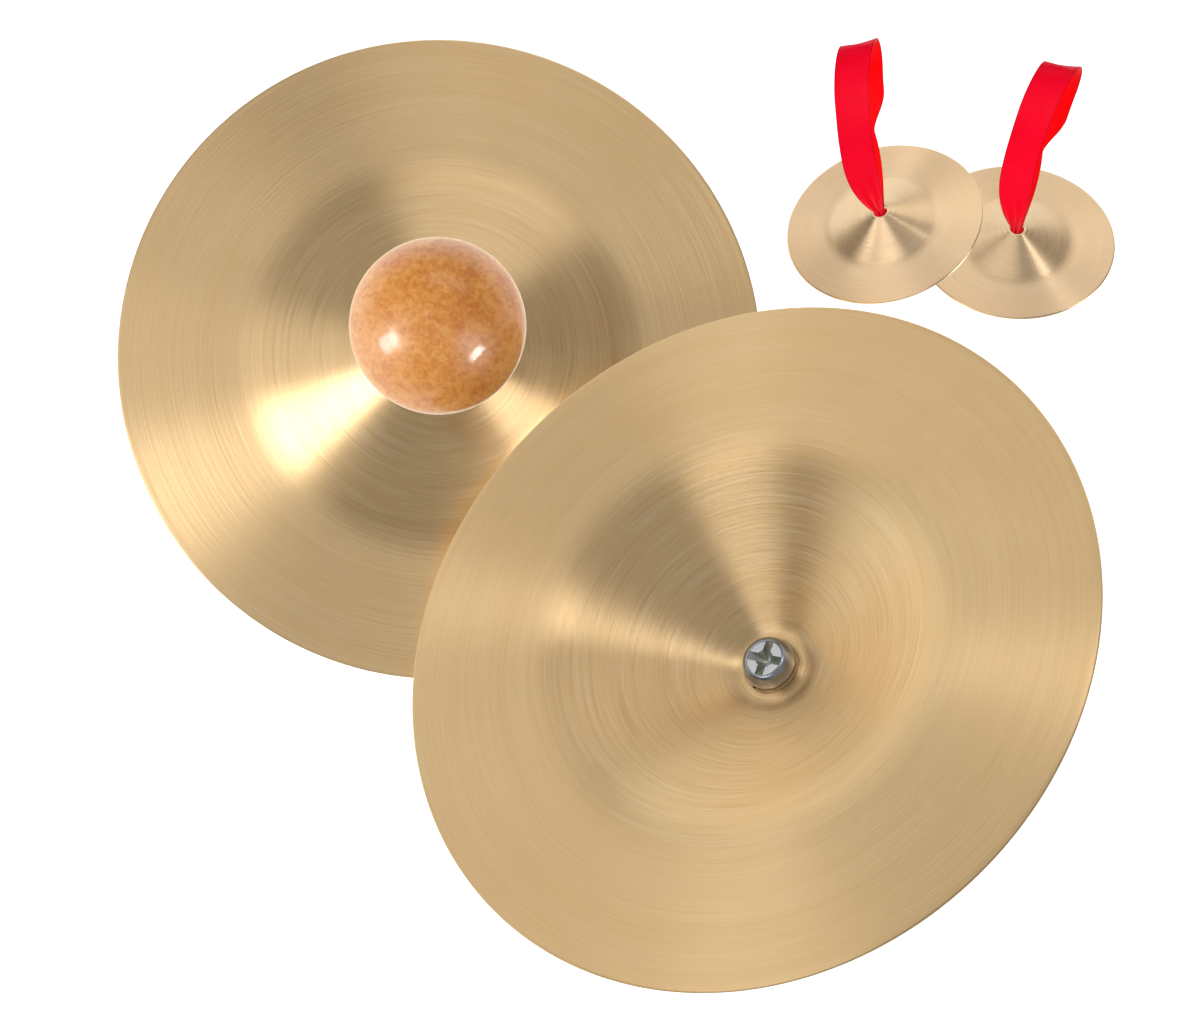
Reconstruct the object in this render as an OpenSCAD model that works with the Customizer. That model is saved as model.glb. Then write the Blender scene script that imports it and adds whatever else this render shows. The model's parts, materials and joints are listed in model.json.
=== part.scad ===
// Set of cymbals played by hand: two large plates on wooden knobs, and
// two small finger plates on ribbon loops.
// The left plate lies rim down with its knob up. The right plate lies on
// its knob, and its low edge leans over the left plate. Each finger plate
// leans on its rim and on the knotted ribbon below it.
// Origin: the middle of the set's footprint, on the surface it stands on.

/* [Large plates] */
// Diameter of a large plate
plate_d = 150; // [140:1:160]
// Depth of the concave side, from the rim to the flat centre
plate_depth = 23.5; // [20:0.5:26]
// Thickness of the brass sheet
plate_thick = 0.7; // [0.5:0.1:1]
// Diameter of the flat centre that the screw clamps
plate_flat_d = 17; // [15:0.5:19]
// Radius where the straight cone ends
plate_cone_r = 36; // [32:1:40]
// Radius where the shallow outer flange begins
plate_flange_r = 50; // [46:1:56]
// Slope of the flange, as rise over run
plate_flange_slope = 0.07; // [0.04:0.01:0.1]
// Width of the level band at the rim
plate_rim_band = 1.5; // [1:0.1:3]

/* [Knobs] */
// Diameter of the knob's ball
knob_d = 36.4; // [34:0.2:40]
// Height of the ball's centre above the rim plane
knob_centre = 54.5; // [52:0.5:58]
// Diameter of the knob's foot
foot_d = 20; // [18:0.5:22]
// Angle from the top of the ball to where its neck begins
neck_angle = 140; // [136:1:144]

/* [Fasteners] */
// Thread diameter of the screw
screw_d = 6; // [5:0.5:6]
// Length of the screw under its head
screw_length = 16; // [14:1:18]
// Diameter of the pan head
head_d = 11.6; // [11:0.1:12]
// Height of the pan head
head_h = 3.6; // [3.2:0.1:4]
// Diameter of the flat top of the pan head
head_flat_d = 7.4; // [7:0.1:8]
// Depth of the cross recess
recess_depth = 2.2; // [1.6:0.1:2.4]
// Outer diameter of the split lock washer
washer_d = 11.8; // [11:0.1:12]
// Thickness of the lock washer
washer_h = 1.4; // [1.2:0.1:1.5]
// Outer diameter of the threaded insert in the knob
insert_d = 9; // [8.5:0.1:9.5]
// Length of the threaded insert
insert_length = 13; // [12:0.5:14]

/* [Finger plates] */
// Diameter of a finger plate
finger_d = 45.5; // [45:0.1:46]
// Depth of a finger plate's concave side
finger_depth = 4.2; // [4:0.1:4.4]
// Thickness of a finger plate's sheet
finger_thick = 0.6; // [0.5:0.1:0.6]
// Diameter of the hole for the ribbon
finger_hole_d = 3.2; // [3:0.1:3.4]
// Radius where a finger plate's cone ends
finger_cone_r = 11; // [10:0.5:12]
// Radius where a finger plate's flange begins
finger_flange_r = 14.5; // [14:0.5:15]

/* [Ribbons] */
// Width of the satin ribbon
ribbon_w = 7.4; // [6.8:0.1:7.8]
// Thickness of the ribbon
ribbon_thick = 0.6; // [0.4:0.1:0.8]
// Height of the finger loop above the plate's hole
loop_length = 40.8; // [38:0.2:43]
// Half of the loop's greatest opening
loop_half_gap = 8.5; // [7.5:0.1:9]
// Sideways bow of the loop
loop_bow = 2.7; // [2:0.1:3.5]
// Sideways step of the strap that runs back down behind the loop
loop_step = 5; // [4:0.1:5.5]
// Turn of a loop about its own length
loop_turn = -14; // [-18:1:-8]
// Diameter of the knot under the plate
knot_d = 6; // [5:0.1:6]
// Lean of each ribbon tail from upright
tail_lean = 22; // [18:1:26]

/* [Layout] */
// Radius on the left plate that the right plate's low edge leans over
lean_over_r = 27.2; // [26:0.2:30]
// Gap between that edge and the left plate
lean_gap = 0.6; // [0.5:0.1:2]
// Direction that the right plate leans towards, from +X
lean_dir = 140; // [136:1:144]
// Direction from the left plate's axis to the right plate's centre
pair_dir = -45.7; // [-48:0.1:-42]
// Lean of the left finger plate
finger_left_lean = 35.5; // [33:0.5:37]
// Direction that the left finger plate leans towards
finger_left_dir = 127.4; // [122:0.2:132]
// Lean of the right finger plate
finger_right_lean = 30.3; // [28:0.1:32]
// Direction that the right finger plate leans towards
finger_right_dir = 103.7; // [100:0.1:108]
// Direction that the left ribbon loop leans towards
loop_left_dir = 110.7; // [108:0.1:114]
// Lean of the left ribbon loop from upright
loop_left_lean = 53.8; // [49:0.1:56]
// Direction that the right ribbon loop leans towards
loop_right_dir = 89.4; // [86:0.1:92]
// Lean of the right ribbon loop from upright
loop_right_lean = 48.4; // [45:0.1:52]

/* [Hidden] */

round_fn = 180;
plate_r = plate_d / 2;
finger_r = finger_d / 2;
knob_r = knob_d / 2;
seat_gap = 0.05;            // play between a plate and what clamps it
thread_gap = 0.05;          // radial play of the screw in its insert
plate_hole_r = screw_d / 2 + 0.1;
recess_w = 1.7;
recess_len = 6.8;
finger_flat_r = finger_hole_d / 2 + 0.4;

// A dished plate is [rim radius, level band's inner radius, flange radius,
// cone radius, flat radius, hole radius, depth, flange slope, thickness].
RIM = 0; BAND = 1; FLANGE = 2; CONE = 3; FLAT = 4; HOLE = 5; DEPTH = 6; SLOPE = 7; THICK = 8;
large_dish = [plate_r, plate_r - plate_rim_band, plate_flange_r, plate_cone_r,
              plate_flat_d / 2, plate_hole_r, plate_depth, plate_flange_slope, plate_thick];
finger_dish = [finger_r, finger_r - 0.5, finger_flange_r, finger_cone_r,
               finger_flat_r, finger_hole_d / 2, finger_depth, 0.05, finger_thick];

function clamp(x, low, high) = min(max(x, low), high);

// Slope of the straight cone that makes up the dish's full depth
function cone_slope(p) =
    (p[DEPTH] - p[SLOPE] * (p[BAND] - p[FLANGE]) - p[SLOPE] * (p[FLANGE] - p[CONE]) / 2)
    / ((p[CONE] - p[FLAT]) + (p[FLANGE] - p[CONE]) / 2);

// Height gained from the cone outwards through the smooth bend, for u
// from 0 at the cone to 1 at the flange
function bend_area(p, u) =
    (cone_slope(p) * u + (p[SLOPE] - cone_slope(p)) * (pow(u, 3) - pow(u, 4) / 2)) * (p[FLANGE] - p[CONE]);

// Height of the concave face over the rim plane at radius r
function dish_z(p, r) =
    p[SLOPE] * (p[BAND] - clamp(r, p[FLANGE], p[BAND]))
    + bend_area(p, 1) - bend_area(p, clamp((r - p[CONE]) / (p[FLANGE] - p[CONE]), 0, 1))
    + cone_slope(p) * (p[CONE] - clamp(r, p[FLAT], p[CONE]));

// Slope of the concave face at radius r, averaged over a short run
function dish_slope(p, r) = (dish_z(p, r - 0.2) - dish_z(p, r + 0.2)) / 0.4;

// The sheet's height at radius r, keeping its thickness square to the face
function sheet_h(p, r) = p[THICK] * sqrt(1 + pow(dish_slope(p, r), 2));

// The right plate rests on its knob. Its lean is the angle at which the low
// point of its rim comes down to edge_h, which is just over the left plate:
// knob_centre * cos(lean) + knob_r - plate_r * sin(lean) = edge_h
edge_h = dish_z(large_dish, lean_over_r) + sheet_h(large_dish, lean_over_r) + lean_gap;
lean = acos((edge_h - knob_r) / norm([knob_centre, plate_r])) - atan2(plate_r, knob_centre);
rim_height = knob_centre * cos(lean) + knob_r;

// Places, all measured from the left plate's axis
pair_reach = plate_r * cos(lean) + lean_over_r;
pair_x = pair_reach * cos(pair_dir);
pair_y = pair_reach * sin(pair_dir);
left_finger_x = plate_r + 26.7;
left_finger_y = 0.4 * plate_r + 0.2;
right_finger_x = left_finger_x + 31.15;
right_finger_y = left_finger_y - 3.5;

// Reach of a leaning disc's edge from its centre, along one level axis
function disc_reach(r, tilt, dir, axis_dir) = r * sqrt(1 - pow(sin(tilt) * cos(dir - axis_dir), 2));

reach_x = right_finger_x + disc_reach(finger_r, finger_right_lean, finger_right_dir, 0);
reach_y = pair_y - disc_reach(plate_r, lean, lean_dir, 90) - plate_thick * sin(lean) * sin(lean_dir);
origin_x = (plate_r - reach_x) / 2;
origin_y = -(plate_r + reach_y) / 2;
bend_steps = 10;
function dish_radii(p) = concat(
    [p[HOLE], p[FLAT]],
    [for (i = [0:bend_steps]) p[CONE] + (p[FLANGE] - p[CONE]) * i / bend_steps],
    [p[BAND], p[RIM]]);

module dish(p) {
    radii = dish_radii(p);
    last = len(radii) - 1;
    under = [for (r = radii) [r, dish_z(p, r)]];
    over = [for (i = [last:-1:0]) [radii[i], dish_z(p, radii[i]) + sheet_h(p, radii[i])]];
    rotate_extrude($fn = round_fn) polygon(concat(under, over));
}

// Places of the four instruments. Each frame has its rim plane at z = 0
// and its convex side up.
module at_left() {
    translate([origin_x, origin_y, 0]) children();
}

module at_right() {
    translate([origin_x + pair_x, origin_y + pair_y, rim_height])
        rotate([0, 0, lean_dir]) rotate([0, 180 + lean, 0]) children();
}

module at_finger_left() {
    translate([origin_x + left_finger_x, origin_y + left_finger_y, finger_r * sin(finger_left_lean)])
        rotate([0, 0, finger_left_dir]) rotate([0, finger_left_lean, 0]) children();
}

module at_finger_right() {
    translate([origin_x + right_finger_x, origin_y + right_finger_y, finger_r * sin(finger_right_lean)])
        rotate([0, 0, finger_right_dir]) rotate([0, finger_right_lean, 0]) children();
}

// Wooden knob: a ball on a waisted neck, with a blind hole for the insert
knob_base = plate_depth + plate_thick + seat_gap;
foot_edge = 0.6;
foot_slope = -0.1;
foot_top = knob_base + foot_edge;
neck_top = knob_centre + knob_r * cos(neck_angle);
neck_join_r = knob_r * sin(neck_angle);
neck_join_slope = -1 / tan(neck_angle);
neck_steps = 12;

// Radius of the neck for u from 0 at the foot to 1 at the ball, which it
// meets at the ball's own slope
function neck_radius(u) =
    (2 * pow(u, 3) - 3 * pow(u, 2) + 1) * foot_d / 2
    + (pow(u, 3) - 2 * pow(u, 2) + u) * foot_slope * (neck_top - foot_top)
    + (3 * pow(u, 2) - 2 * pow(u, 3)) * neck_join_r
    + (pow(u, 3) - pow(u, 2)) * neck_join_slope * (neck_top - foot_top);

module knob() {
    ball = [for (a = [0:4:neck_angle - 1]) [knob_r * sin(a), knob_centre + knob_r * cos(a)]];
    neck = [for (i = [neck_steps:-1:0])
        [neck_radius(i / neck_steps), foot_top + (neck_top - foot_top) * i / neck_steps]];
    color("peru") difference() {
        rotate_extrude($fn = round_fn)
            polygon(concat(ball, neck, [[foot_d / 2 - foot_edge, knob_base], [0, knob_base]]));
        translate([0, 0, knob_base - 1]) cylinder(r = insert_d / 2, h = insert_length + 1, $fn = 64);
        translate([0, 0, knob_base]) cylinder(r = screw_d / 2 + 0.2, h = insert_length + 3, $fn = 48);
    }
}

module insert() {
    color("goldenrod") translate([0, 0, knob_base]) difference() {
        cylinder(r = insert_d / 2, h = insert_length, $fn = 64);
        translate([0, 0, -1]) cylinder(r = screw_d / 2 + thread_gap, h = insert_length + 2, $fn = 48);
    }
}

// Pan-head screw with a cross recess, head on the concave side
washer_top = plate_depth - seat_gap;
head_top = washer_top - washer_h;

module screw() {
    crown = [for (a = [0:15:90]) [
        head_flat_d / 2 + (head_d - head_flat_d) / 2 * sin(a),
        head_top - head_h + (head_h - 0.5) * (1 - cos(a))]];
    color("silver") difference() {
        union() {
            rotate_extrude($fn = 96) polygon(concat([[0, head_top - head_h]], crown,
                [[head_d / 2, head_top], [0, head_top]]));
            translate([0, 0, head_top - 0.5]) cylinder(r = screw_d / 2, h = screw_length + 0.5, $fn = 48);
        }
        for (a = [0, 90])
            rotate([0, 0, a]) translate([-recess_len / 2, -recess_w / 2, head_top - head_h - 1])
                cube([recess_len, recess_w, recess_depth + 1]);
    }
}

// Split lock washer between the screw's head and the plate
module washer() {
    color("lightgray") translate([0, 0, head_top]) difference() {
        cylinder(r = washer_d / 2, h = washer_h, $fn = 64);
        translate([0, 0, -1]) cylinder(r = screw_d / 2 + 0.15, h = washer_h + 2, $fn = 48);
        rotate([0, 0, -60]) translate([0, -0.4, -1]) cube([washer_d, 0.8, washer_h + 2]);
    }
}

// Ribbon loop: a flat strap bent into a drop shape that stands along +Z.
// Its two ends come close together at the foot, where it is gathered.
loop_foot = 2.2;            // height of the loop's ends over the pivot
foot_spread = 0.75;         // half the distance between the ends
gather_w = 2.2;             // width of the ribbon where it is gathered
gather_h = 16;              // height over which it opens to its full width
turn_over = 57;             // half of the angle in which the strap steps sideways at the top
step_low = 0.40;            // part of the loop's length where the step begins
step_high = 0.64;           // part of the loop's length where the step is complete
low_step = 1.7;             // sideways step of the returning strap near the foot
top_drift = 0.7;            // sideways drift of the whole loop towards its top
loop_rings = 44;
start_angle = acos(1 - 2 * loop_foot / loop_length);

function loop_z(t) = loop_length * (1 - cos(t)) / 2;
function loop_x(t) = -foot_spread * cos(t / 2) - loop_half_gap * sin(t) * sin(t / 2);
function smooth(x, low, high) =
    let (u = clamp((x - low) / (high - low), 0, 1))
    u * u * (3 - 2 * u);
function loop_step_at(t, part) =
    let (risen = smooth(part, step_low, step_high))
    smooth(t, 180 - turn_over, 180 + turn_over)
    * (loop_step * risen + low_step * (1 - risen) * sin(180 * min(part / step_high, 1)));
function loop_y(t) =
    let (part = loop_z(t) / loop_length)
    loop_bow * sin(180 * pow(part, 0.8)) + top_drift * part * part - loop_step_at(t, part);
function loop_w(t) = ribbon_w - (ribbon_w - gather_w) * pow(1 - min(loop_z(t) / gather_h, 1), 2);
function unit(v) = v / norm(v);

// Corners of the strap's section at angle t
function loop_ring(t) =
    let (run = unit([loop_x(t + 1) - loop_x(t - 1), loop_z(t + 1) - loop_z(t - 1)]),
         out = [-run[1], run[0]] * ribbon_thick / 2,
         side = loop_w(t) / 2)
    [for (c = [[1, -1], [1, 1], [-1, 1], [-1, -1]])
        [loop_x(t) + c[0] * out[0], loop_y(t) + c[1] * side, loop_z(t) + c[0] * out[1]]];

module ribbon_loop() {
    step = (360 - 2 * start_angle) / loop_rings;
    points = [for (i = [0:loop_rings]) each loop_ring(start_angle + i * step)];
    sides = [for (i = [0:loop_rings - 1]) for (k = [0:3])
        [4 * i + k, 4 * i + (k + 1) % 4, 4 * i + 4 + (k + 1) % 4, 4 * i + 4 + k]];
    last = 4 * loop_rings;
    color("crimson") polyhedron(points,
        concat([[3, 2, 1, 0]], sides, [[last, last + 1, last + 2, last + 3]]), convexity = 6);
}

module place_loop(dir, tilt) {
    rotate([0, 0, dir]) rotate([0, tilt, 0]) rotate([0, 0, loop_turn]) ribbon_loop();
}

// World position of a point on a finger plate's axis, at height h over its rim plane
function on_axis(x, y, tilt, dir, h) = [
    origin_x + x + h * sin(tilt) * cos(dir),
    origin_y + y + h * sin(tilt) * sin(dir),
    finger_r * sin(tilt) + h * cos(tilt)];

// Gathered ribbon through the hole, its knot, and two tails that reach down
neck_r = 1.2;
neck_rise = 0.9;            // height of the gathered ribbon over the plate
knot_drop = 2.9;            // from the cup's centre down to the knot's middle
pivot_h = finger_depth + finger_thick;
knot_h = finger_depth - knot_drop;
left_knot = on_axis(left_finger_x, left_finger_y, finger_left_lean, finger_left_dir, knot_h);
right_knot = on_axis(right_finger_x, right_finger_y, finger_right_lean, finger_right_dir, knot_h);
left_pivot = on_axis(left_finger_x, left_finger_y, finger_left_lean, finger_left_dir, pivot_h);
right_pivot = on_axis(right_finger_x, right_finger_y, finger_right_lean, finger_right_dir, pivot_h);

module knot_ball() {
    translate([0, 0, knot_h]) sphere(r = knot_d / 2, $fn = 48);
    translate([0, 0, knot_h]) cylinder(r = neck_r, h = pivot_h - knot_h + neck_rise, $fn = 32);
}

module tails(at, dir) {
    reach = (at[2] - 0.1 - ribbon_thick / 2 * sin(tail_lean)) / cos(tail_lean);
    tail_w = ribbon_w - 1;
    for (side = [-1, 1])
        translate(at) rotate([0, 0, dir]) rotate([0, side * tail_lean, 0])
            translate([-ribbon_thick / 2, -tail_w / 2, -reach]) cube([ribbon_thick, tail_w, reach]);
}

module plate_left() {
    color("tan") at_left() dish(large_dish);
}

module plate_right() {
    color("tan") at_right() dish(large_dish);
}

module finger_plate_left() {
    color("wheat") at_finger_left() dish(finger_dish);
}

module finger_plate_right() {
    color("wheat") at_finger_right() dish(finger_dish);
}

module ribbon_knot_left() {
    color("red") {
        at_finger_left() knot_ball();
        tails(left_knot, loop_left_dir);
    }
}

module ribbon_knot_right() {
    color("red") {
        at_finger_right() knot_ball();
        tails(right_knot, loop_right_dir);
    }
}

module ribbon_loop_left() {
    translate(left_pivot) place_loop(loop_left_dir, loop_left_lean);
}

module ribbon_loop_right() {
    translate(right_pivot) place_loop(loop_right_dir, loop_right_lean);
}

plate_left();
at_left() knob();  // knob_left
at_left() insert();  // insert_left
at_left() screw();  // screw_left
at_left() washer();  // washer_left
plate_right();
at_right() knob();  // knob_right
at_right() insert();  // insert_right
at_right() screw();  // screw_right
at_right() washer();  // washer_right
finger_plate_left();
ribbon_knot_left();
ribbon_loop_left();
finger_plate_right();
ribbon_knot_right();
ribbon_loop_right();
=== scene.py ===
import json
import math

import bmesh
import bpy
import numpy as np
from mathutils import Matrix, Vector


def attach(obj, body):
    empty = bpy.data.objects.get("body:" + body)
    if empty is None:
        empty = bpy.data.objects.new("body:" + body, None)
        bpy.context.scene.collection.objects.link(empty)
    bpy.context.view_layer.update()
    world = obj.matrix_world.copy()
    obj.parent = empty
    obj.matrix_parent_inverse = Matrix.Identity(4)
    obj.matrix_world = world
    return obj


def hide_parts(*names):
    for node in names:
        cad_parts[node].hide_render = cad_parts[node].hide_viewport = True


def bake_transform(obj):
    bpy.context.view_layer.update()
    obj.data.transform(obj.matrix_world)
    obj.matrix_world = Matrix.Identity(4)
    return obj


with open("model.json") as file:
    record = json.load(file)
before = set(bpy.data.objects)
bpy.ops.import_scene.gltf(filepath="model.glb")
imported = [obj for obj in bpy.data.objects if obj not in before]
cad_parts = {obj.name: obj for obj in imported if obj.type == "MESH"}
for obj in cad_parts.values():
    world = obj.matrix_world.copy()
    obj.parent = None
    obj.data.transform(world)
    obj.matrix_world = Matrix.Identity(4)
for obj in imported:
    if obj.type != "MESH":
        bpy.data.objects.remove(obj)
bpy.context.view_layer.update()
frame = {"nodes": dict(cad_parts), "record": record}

MM = 0.001
TAU = 2 * math.pi

# ---------------------------------------------------------------- sizes
# These repeat the design's own dimensions, in millimetres. In a plate, flat, cone and flange are the
# radii where its level centre ends, where its straight cone ends and where its shallow flange starts.
# band is where its level rim starts, and slope is the flange's. ripples are the faint waves left by
# turning, each with its slope, length and phase.
PLATE = dict(rim=75.0, band=73.5, flange=50.0, cone=36.0, flat=8.5, hole=3.1,
             depth=23.5, slope=0.07, thick=0.7, segments=288,
             ripples=[(0.006, 7.3, 0.4), (0.005, 4.1, 2.0), (0.004, 2.6, 5.1)])
FINGER = dict(rim=22.75, band=22.25, flange=14.5, cone=11.0, flat=2.0, hole=1.6,
              depth=4.2, slope=0.05, thick=0.6, segments=192,
              ripples=[(0.006, 3.4, 1.0), (0.005, 2.1, 4.0)])
FINGER_POSE = {"left": dict(lean=35.5, turn=127.4, loop=110.7, loop_lean=53.8),
               "right": dict(lean=30.3, turn=103.7, loop=89.4, loop_lean=48.4)}
SEAT_GAP = 0.05
KNOB_R = 18.2
KNOB_CENTRE = 54.5
FOOT_R = 10.0
NECK_ANGLE = math.radians(140)
INSERT_R = 4.5
INSERT_LENGTH = 13.0
WASHER_R = 5.9
WASHER_H = 1.4
SCREW_R = 3.0
SCREW_LENGTH = 16.0
HEAD_R = 5.8
HEAD_H = 3.6
HEAD_FLAT_R = 3.7
HEAD_SEAT = PLATE["depth"] - SEAT_GAP - WASHER_H
HEAD_FACE = HEAD_SEAT - HEAD_H
RIBBON_W = 7.4
RIBBON_T = 0.28  # thinner than the design's solid ribbon, as satin is

# The ribbon loop in its own frame: its height, about half the gap between its two strands, its bow
# to one side, how far one strand is set off sideways from the other (high up and low down), its
# drift at the top, and its turn about its own length.
LOOP_LENGTH = 40.8
LOOP_HALF_GAP = 8.5
LOOP_BOW = 2.7
LOOP_STEP = 5.0
LOW_STEP = 1.7
TOP_DRIFT = 0.7
LOOP_TURN = math.radians(-14)


# ---------------------------------------------------------------- places
def joint(name):
    return next(j for j in frame["record"]["behaviour"]["joints"] if j["name"] == name)


def axis_frame(origin, axis):
    """A placing matrix whose z runs along axis and whose x is as near +X as it can be."""
    z = Vector(axis).normalized()
    x = Vector((1, 0, 0))
    x = (x - x.dot(z) * z).normalized()
    y = z.cross(x)
    place = Matrix((x, y, z)).transposed().to_4x4()
    place.translation = Vector(origin)
    return place


def lean_axis(lean, turn):
    """An upward direction that leans by an angle from +Z, towards an azimuth, both in degrees."""
    lean, turn = math.radians(lean), math.radians(turn)
    return Vector((math.sin(lean) * math.cos(turn), math.sin(lean) * math.sin(turn), math.cos(lean)))


def cymbal_place(side):
    """A large cymbal's own frame, with z from the rim's level towards the knob."""
    spin = joint("handle_%s_spin" % side)
    up = Vector(spin["axis"])
    return axis_frame(spin["pos_m"], up if side == "left" else -up)


def finger_place(side):
    """A finger cymbal's own frame, with z from the rim's level towards the loop."""
    pose = FINGER_POSE[side]
    up = lean_axis(pose["lean"], pose["turn"])
    pivot = Vector(joint("ribbon_%s_swing" % side)["pos_m"])
    return axis_frame(pivot - up * (FINGER["depth"] + FINGER["thick"]) * MM, up)


def loop_place(side):
    """A ribbon loop's own frame, with its origin at the plate's hole and z up the loop."""
    pose = FINGER_POSE[side]
    pivot = Vector(joint("ribbon_%s_swing" % side)["pos_m"])
    turn = Matrix.Rotation(math.radians(pose["loop"]), 4, "Z")
    lean = Matrix.Rotation(math.radians(pose["loop_lean"]), 4, "Y")
    return Matrix.Translation(pivot) @ turn @ lean @ Matrix.Rotation(LOOP_TURN, 4, "Z")


# ---------------------------------------------------------------- mesh helpers
def make_object(name, verts, faces, place=None, uvs=None, sharp_deg=35):
    """An object from points in millimetres, with one UV pair for each corner of each face."""
    mesh = bpy.data.meshes.new(name)
    mesh.from_pydata([tuple(float(c) * MM for c in v) for v in verts], [], faces)
    if uvs is not None:
        layer = mesh.uv_layers.new(name="UVMap")
        layer.data.foreach_set("uv", np.array(uvs, float).ravel())
    mesh.validate()
    mesh.shade_smooth()
    mesh.set_sharp_from_angle(angle=math.radians(sharp_deg))
    obj = bpy.data.objects.new(name, mesh)
    bpy.context.scene.collection.objects.link(obj)
    if place is not None:
        obj.matrix_world = place
    return obj


def revolve(name, outline, segments, place, closed=True, radius_at=None):
    """Turns an outline of (radius, height) points about z. UV u runs once round and v along the
    outline, in turns and in millimetres. radius_at may change a radius by row and angle."""
    outline = np.array(outline, float)
    rows = len(outline)
    steps = np.linalg.norm(np.diff(np.vstack([outline, outline[:1]]), axis=0), axis=1)
    along = np.concatenate([[0], np.cumsum(steps)])
    verts, index = [], {}
    for i, (r, z) in enumerate(outline):
        for k in range(segments):
            if r < 1e-6 and k:
                index[i, k] = index[i, 0]
                continue
            angle = TAU * k / segments
            rr = radius_at(r, z, angle) if radius_at else r
            index[i, k] = len(verts)
            verts.append((rr * math.cos(angle), rr * math.sin(angle), z))
    faces, uvs = [], []
    for i in range(rows if closed else rows - 1):
        j = (i + 1) % rows
        for k in range(segments):
            m = (k + 1) % segments
            corners = [(i, k, k), (i, m, k + 1), (j, m, k + 1), (j, k, k)]
            seen, face, uv = set(), [], []
            for row, col, turn in corners:
                v = index[row, col]
                if v not in seen:
                    seen.add(v)
                    face.append(v)
                    uv.append((turn / segments, along[i + 1] if row == j and row != i else along[i]))
            if len(face) > 2:
                faces.append(face)
                uvs.extend(uv)
    return make_object(name, verts, faces, place, uvs)


def smoothstep(x, low, high):
    u = np.clip((np.asarray(x, float) - low) / (high - low), 0, 1)
    return u * u * (3 - 2 * u)


# ---------------------------------------------------------------- materials
OWN_PLACE = "own_place"


class Nodes:
    """Short calls for building a node tree."""

    def __init__(self, name, settled=True):
        """settled says that the material's pieces have been through settle()."""
        self.settled = settled
        self.material = bpy.data.materials.new(name)
        self.material.use_nodes = True
        self.tree = self.material.node_tree
        self.shader = self.tree.nodes["Principled BSDF"]

    def add(self, kind, **settings):
        node = self.tree.nodes.new(kind)
        for key, value in settings.items():
            setattr(node, key, value)
        return node

    def link(self, source, target):
        self.tree.links.new(source, target)

    def put(self, value, socket):
        if isinstance(value, bpy.types.NodeSocket):
            self.link(value, socket)
        else:
            socket.default_value = value

    def math(self, operation, a, b=0.0):
        node = self.add("ShaderNodeMath", operation=operation)
        for value, socket in zip((a, b), node.inputs):
            self.put(value, socket)
        return node.outputs[0]

    def weighted(self, *pairs):
        """The sum of values, each times its weight."""
        total = 0.0
        for value, weight in pairs:
            total = self.math("ADD", total, self.math("MULTIPLY", value, weight))
        return total

    def vary(self, value, noise, amount):
        """A value moved up and down by a noise whose middle is 0.5."""
        return self.math("ADD", value, self.math("MULTIPLY", self.math("SUBTRACT", noise, 0.5), amount))

    def combine(self, x, y, z):
        node = self.add("ShaderNodeCombineXYZ")
        for value, socket in zip((x, y, z), node.inputs):
            self.put(value, socket)
        return node.outputs[0]

    def noise(self, vector, scale, detail=2.0, roughness=0.5, distortion=0.0):
        node = self.add("ShaderNodeTexNoise")
        self.put(vector, node.inputs["Vector"])
        node.inputs["Scale"].default_value = scale
        node.inputs["Detail"].default_value = detail
        node.inputs["Roughness"].default_value = roughness
        node.inputs["Distortion"].default_value = distortion
        return node.outputs["Fac"]

    def ramp(self, factor, stops):
        node = self.add("ShaderNodeValToRGB")
        ramp = node.color_ramp
        while len(ramp.elements) < len(stops):
            ramp.elements.new(0.5)
        for element, (position, colour) in zip(ramp.elements, stops):
            element.position = position
            element.color = (*colour, 1)
        self.put(factor, node.inputs["Fac"])
        return node.outputs["Color"]

    def mix(self, factor, a, b):
        """Mixes two colours. A colour mix has its factor at input 0 and its colours at 6 and 7."""
        node = self.add("ShaderNodeMix", data_type="RGBA")
        self.put(factor, node.inputs[0])
        for value, socket in zip((a, b), node.inputs[6:8]):
            self.put((*value, 1) if isinstance(value, tuple) else value, socket)
        return node.outputs[2]

    def bump(self, height, strength, distance, normal=None):
        node = self.add("ShaderNodeBump")
        node.inputs["Strength"].default_value = strength
        node.inputs["Distance"].default_value = distance
        self.put(height, node.inputs["Height"])
        if normal is not None:
            self.put(normal, node.inputs["Normal"])
        return node.outputs["Normal"]

    def map_range(self, value, low, high, to_low, to_high):
        node = self.add("ShaderNodeMapRange")
        for number, socket in zip((value, low, high, to_low, to_high), node.inputs):
            self.put(number, socket)
        return node.outputs[0]

    def object_xyz(self):
        """A piece's own coordinates in metres, whole and split in three."""
        if self.settled:
            coordinates = self.add("ShaderNodeAttribute", attribute_name=OWN_PLACE).outputs["Vector"]
        else:
            coordinates = self.add("ShaderNodeTexCoord").outputs["Object"]
        split = self.add("ShaderNodeSeparateXYZ")
        self.link(coordinates, split.inputs[0])
        return coordinates, split.outputs

    def tangent(self):
        """The direction in which UV u grows, which the gloss is stretched by."""
        return self.add("ShaderNodeTangent", direction_type="UV_MAP", uv_map="UVMap").outputs[0]

    def set(self, **values):
        """Sets the shader's sockets. A name has underscores for a socket's spaces."""
        for name, value in values.items():
            self.put(value, self.shader.inputs[name.replace("_", " ")])


def ring_coordinates(n):
    """Radius in millimetres, and the cosine and sine of the angle round the object's z axis."""
    _, (x, y, _) = n.object_xyz()
    radius = n.math("SQRT", n.math("ADD", n.math("MULTIPLY", x, x), n.math("MULTIPLY", y, y)))
    safe = n.math("MAXIMUM", radius, 1e-5)
    return n.math("MULTIPLY", radius, 1000.0), n.math("DIVIDE", x, safe), n.math("DIVIDE", y, safe)


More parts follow.
